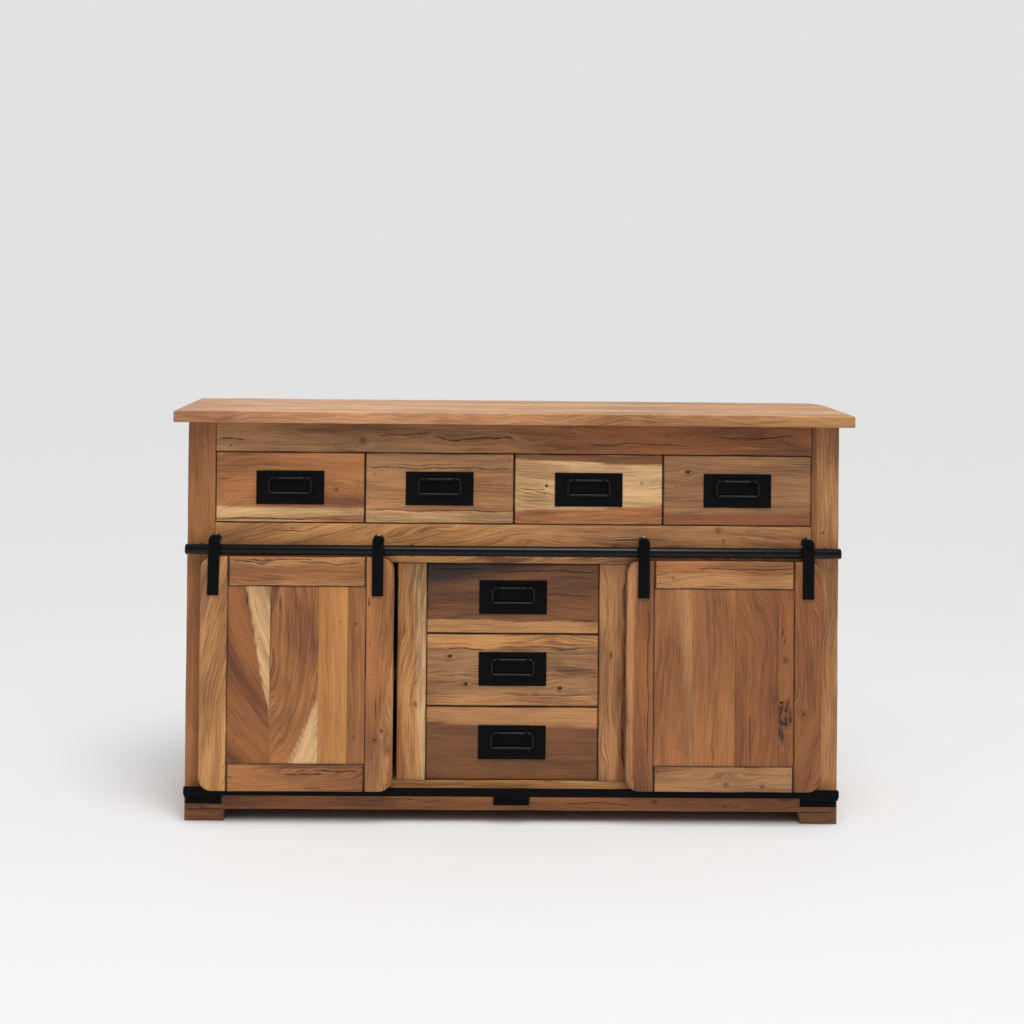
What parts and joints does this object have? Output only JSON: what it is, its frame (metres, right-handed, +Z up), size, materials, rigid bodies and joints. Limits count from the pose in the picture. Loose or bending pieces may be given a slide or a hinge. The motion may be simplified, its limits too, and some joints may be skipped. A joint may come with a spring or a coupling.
{
  "type": "sideboard buffet",
  "caption": "Rustic reclaimed-wood sideboard with rows of small drawers, sliding barn doors on a round black rail, and black bail pulls.",
  "frame": {"origin": "under the middle of the whole object, on the floor", "axes": "+X to the right seen from the front, +Y to the back, +Z up; the front faces -Y"},
  "size_m": [1.5, 0.408, 0.905],
  "materials": {
    "warm_wood": "oiled, matte, reclaimed with cracks and knots",
    "pale_wood": "oiled, matte, with pale sapwood bands",
    "brown_wood": "oiled, matte, dark heartwood",
    "inner_wood": "plain planed boards inside",
    "black_steel": "matte black powder coat"
  },
  "bodies": {
    "carcass": {"top": "warm_wood", "left_post": "warm_wood", "left_side_panel": "brown_wood", "left_front_foot": "brown_wood", "left_back_foot": "brown_wood", "right_post": "warm_wood", "right_side_panel": "brown_wood", "right_front_foot": "brown_wood", "right_back_foot": "brown_wood", "frieze_rail": "brown_wood", "plinth_rail": "brown_wood", "drawer_deck": "pale_wood", "bottom_board": "pale_wood", "back_panel": "inner_wood", "left_center_wall": "pale_wood", "right_center_wall": "warm_wood", "left_shelf": "inner_wood", "right_shelf": "inner_wood", "track_rail": "black_steel", "guide_bar": "black_steel"},
    "top_drawer_1": {"top_drawer_1_front": "warm_wood", "top_drawer_1_box": "inner_wood", "top_drawer_1_pull_plate": "black_steel"},
    "top_drawer_1_bail": {"top_drawer_1_pull_bail": "black_steel"},
    "top_drawer_2": {"top_drawer_2_front": "warm_wood", "top_drawer_2_box": "inner_wood", "top_drawer_2_pull_plate": "black_steel"},
    "top_drawer_2_bail": {"top_drawer_2_pull_bail": "black_steel"},
    "top_drawer_3": {"top_drawer_3_front": "pale_wood", "top_drawer_3_box": "inner_wood", "top_drawer_3_pull_plate": "black_steel"},
    "top_drawer_3_bail": {"top_drawer_3_pull_bail": "black_steel"},
    "top_drawer_4": {"top_drawer_4_front": "brown_wood", "top_drawer_4_box": "inner_wood", "top_drawer_4_pull_plate": "black_steel"},
    "top_drawer_4_bail": {"top_drawer_4_pull_bail": "black_steel"},
    "center_drawer_1": {"center_drawer_1_front": "brown_wood", "center_drawer_1_box": "inner_wood", "center_drawer_1_pull_plate": "black_steel"},
    "center_drawer_1_bail": {"center_drawer_1_pull_bail": "black_steel"},
    "center_drawer_2": {"center_drawer_2_front": "pale_wood", "center_drawer_2_box": "inner_wood", "center_drawer_2_pull_plate": "black_steel"},
    "center_drawer_2_bail": {"center_drawer_2_pull_bail": "black_steel"},
    "center_drawer_3": {"center_drawer_3_front": "brown_wood", "center_drawer_3_box": "inner_wood", "center_drawer_3_pull_plate": "black_steel"},
    "center_drawer_3_bail": {"center_drawer_3_pull_bail": "black_steel"},
    "left_door": {"left_door_frame": "warm_wood", "left_door_panel": "pale_wood", "left_door_hanger_1": "black_steel", "left_door_hanger_2": "black_steel"},
    "left_door_wheel_1": {"left_door_wheel_1": "black_steel"},
    "left_door_wheel_2": {"left_door_wheel_2": "black_steel"},
    "right_door": {"right_door_frame": "warm_wood", "right_door_panel": "pale_wood", "right_door_hanger_1": "black_steel", "right_door_hanger_2": "black_steel"},
    "right_door_wheel_1": {"right_door_wheel_1": "black_steel"},
    "right_door_wheel_2": {"right_door_wheel_2": "black_steel"}
  },
  "joints": [
    {"name": "top_drawer_1_slide", "type": "slide", "parent": "carcass", "child": "top_drawer_1", "axis": [0, -1, 0], "range_m": [0, 0.25]},
    {"name": "top_drawer_1_bail_hinge", "type": "hinge", "parent": "top_drawer_1", "child": "top_drawer_1_bail", "pos_m": [-0.49538, -0.16825, 0.756], "axis": [-1, 0, 0], "range_deg": [0, 90]},
    {"name": "top_drawer_2_slide", "type": "slide", "parent": "carcass", "child": "top_drawer_2", "axis": [0, -1, 0], "range_m": [0, 0.25]},
    {"name": "top_drawer_2_bail_hinge", "type": "hinge", "parent": "top_drawer_2", "child": "top_drawer_2_bail", "pos_m": [-0.16512, -0.16825, 0.756], "axis": [-1, 0, 0], "range_deg": [0, 90]},
    {"name": "top_drawer_3_slide", "type": "slide", "parent": "carcass", "child": "top_drawer_3", "axis": [0, -1, 0], "range_m": [0, 0.25]},
    {"name": "top_drawer_3_bail_hinge", "type": "hinge", "parent": "top_drawer_3", "child": "top_drawer_3_bail", "pos_m": [0.16512, -0.16825, 0.756], "axis": [-1, 0, 0], "range_deg": [0, 90]},
    {"name": "top_drawer_4_slide", "type": "slide", "parent": "carcass", "child": "top_drawer_4", "axis": [0, -1, 0], "range_m": [0, 0.25]},
    {"name": "top_drawer_4_bail_hinge", "type": "hinge", "parent": "top_drawer_4", "child": "top_drawer_4_bail", "pos_m": [0.49538, -0.16825, 0.756], "axis": [-1, 0, 0], "range_deg": [0, 90]},
    {"name": "center_drawer_1_slide", "type": "slide", "parent": "carcass", "child": "center_drawer_1", "axis": [0, -1, 0], "range_m": [0, 0.25]},
    {"name": "center_drawer_1_bail_hinge", "type": "hinge", "parent": "center_drawer_1", "child": "center_drawer_1_bail", "pos_m": [0, -0.16425, 0.5165], "axis": [-1, 0, 0], "range_deg": [0, 90]},
    {"name": "center_drawer_2_slide", "type": "slide", "parent": "carcass", "child": "center_drawer_2", "axis": [0, -1, 0], "range_m": [0, 0.25]},
    {"name": "center_drawer_2_bail_hinge", "type": "hinge", "parent": "center_drawer_2", "child": "center_drawer_2_bail", "pos_m": [0, -0.16425, 0.358], "axis": [-1, 0, 0], "range_deg": [0, 90]},
    {"name": "center_drawer_3_slide", "type": "slide", "parent": "carcass", "child": "center_drawer_3", "axis": [0, -1, 0], "range_m": [0, 0.25]},
    {"name": "center_drawer_3_bail_hinge", "type": "hinge", "parent": "center_drawer_3", "child": "center_drawer_3_bail", "pos_m": [0, -0.16425, 0.19625], "axis": [-1, 0, 0], "range_deg": [0, 90]},
    {"name": "left_door_slide", "type": "slide", "parent": "carcass", "child": "left_door", "axis": [-1, 0, 0], "range_m": [-0.25, 0.02]},
    {"name": "left_door_wheel_1_roll", "type": "hinge", "parent": "left_door", "child": "left_door_wheel_1", "pos_m": [-0.6565, -0.184, 0.62225], "axis": [0, -1, 0], "continuous": true},
    {"name": "left_door_wheel_2_roll", "type": "hinge", "parent": "left_door", "child": "left_door_wheel_2", "pos_m": [-0.2985, -0.184, 0.62225], "axis": [0, -1, 0], "continuous": true},
    {"name": "right_door_slide", "type": "slide", "parent": "carcass", "child": "right_door", "axis": [1, 0, 0], "range_m": [-0.25, 0.02]},
    {"name": "right_door_wheel_1_roll", "type": "hinge", "parent": "right_door", "child": "right_door_wheel_1", "pos_m": [0.286, -0.184, 0.62225], "axis": [0, 1, 0], "continuous": true},
    {"name": "right_door_wheel_2_roll", "type": "hinge", "parent": "right_door", "child": "right_door_wheel_2", "pos_m": [0.648, -0.184, 0.62225], "axis": [0, 1, 0], "continuous": true}
  ],
  "couplings": [
    {"joint": "left_door_wheel_1_roll", "follows": "left_door_slide", "rad_per_m": 102.56},
    {"joint": "left_door_wheel_2_roll", "follows": "left_door_slide", "rad_per_m": 102.56},
    {"joint": "right_door_wheel_1_roll", "follows": "right_door_slide", "rad_per_m": 102.56},
    {"joint": "right_door_wheel_2_roll", "follows": "right_door_slide", "rad_per_m": 102.56}
  ]
}
